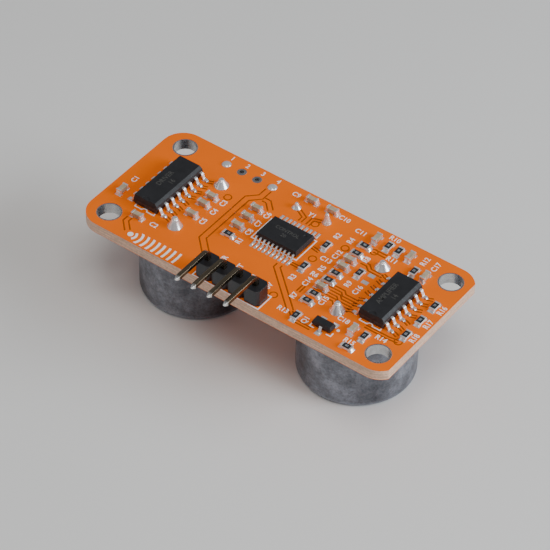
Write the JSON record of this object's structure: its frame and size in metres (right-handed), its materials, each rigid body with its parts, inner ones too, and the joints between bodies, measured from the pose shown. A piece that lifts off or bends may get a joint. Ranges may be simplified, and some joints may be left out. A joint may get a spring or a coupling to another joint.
{
  "type": "ultrasonic distance sensor",
  "caption": "Ultrasonic distance sensor board with a transmitter can and a receiver can on its front, a bent pin header, and mounting holes at its corners.",
  "frame": {"origin": "centre of the four mounting holes, on the board's front face, which is the face with the cans", "axes": "+X along the board, with the receiver at +X; +Y away from the header edge; +Z out of the component face, so the cans point along -Z"},
  "size_m": [0.049, 0.0272, 0.0178],
  "materials": {
    "laminate": "sawn woven glass and epoxy edge",
    "solder_mask": "smooth gloss lacquer over copper tracks",
    "tin": "bright solder and tin plating",
    "white_ink": "thin printed ink",
    "header_plastic": "moulded, satin",
    "pin_metal": "plated square wire, bright at the tips",
    "chip_epoxy": "moulded epoxy, fine grain",
    "alumina": "white fired ceramic",
    "overcoat": "black glaze",
    "capacitor_ceramic": "tan fired ceramic",
    "drawn_steel": "drawn, satin",
    "quartz": "lapped quartz",
    "can_aluminium": "drawn, dull and faintly mottled",
    "screen_wire": "woven wire",
    "plate_brass": "rolled sheet",
    "piezo_ceramic": "silvered ceramic",
    "silicone": "soft, satin",
    "base_resin": "cast resin",
    "wire_enamel": "enamelled copper"
  },
  "bodies": {
    "root": {"board_laminate": "laminate", "solder_mask_back": "solder_mask", "solder_mask_front": "solder_mask", "mounting_hole_plating": "tin", "through_hole_plating": "tin", "surface_mount_pads": "tin", "printed_outlines": "white_ink", "header_housing": "header_plastic", "header_pins": "pin_metal", "header_solder_joints": "tin", "programming_pad_solder": "tin", "driver_chip_body": "chip_epoxy", "driver_chip_leads": "tin", "amplifier_chip_body": "chip_epoxy", "amplifier_chip_leads": "tin", "controller_chip_body": "chip_epoxy", "controller_chip_leads": "tin", "transistor_body": "chip_epoxy", "transistor_leads": "tin", "chip_solder_joints": "tin", "resistor_cores": "alumina", "resistor_overcoats": "overcoat", "resistor_terminals": "tin", "capacitor_bodies": "capacitor_ceramic", "capacitor_terminals": "tin", "passive_solder_joints": "tin", "crystal_can": "drawn_steel", "crystal_base": "drawn_steel", "crystal_leads": "tin", "crystal_quartz": "quartz", "crystal_solder_joints": "tin", "transducer_solder_joints": "tin", "transmitter_can": "can_aluminium", "transmitter_screen": "screen_wire", "transmitter_cone": "can_aluminium", "transmitter_diaphragm": "plate_brass", "transmitter_piezo_disc": "piezo_ceramic", "transmitter_damping_ring": "silicone", "transmitter_base": "base_resin", "transmitter_terminals": "tin", "transmitter_lead_wires": "wire_enamel", "receiver_can": "can_aluminium", "receiver_screen": "screen_wire", "receiver_cone": "can_aluminium", "receiver_diaphragm": "plate_brass", "receiver_piezo_disc": "piezo_ceramic", "receiver_damping_ring": "silicone", "receiver_base": "base_resin", "receiver_terminals": "tin", "receiver_lead_wires": "wire_enamel"}
  },
  "joints": []
}
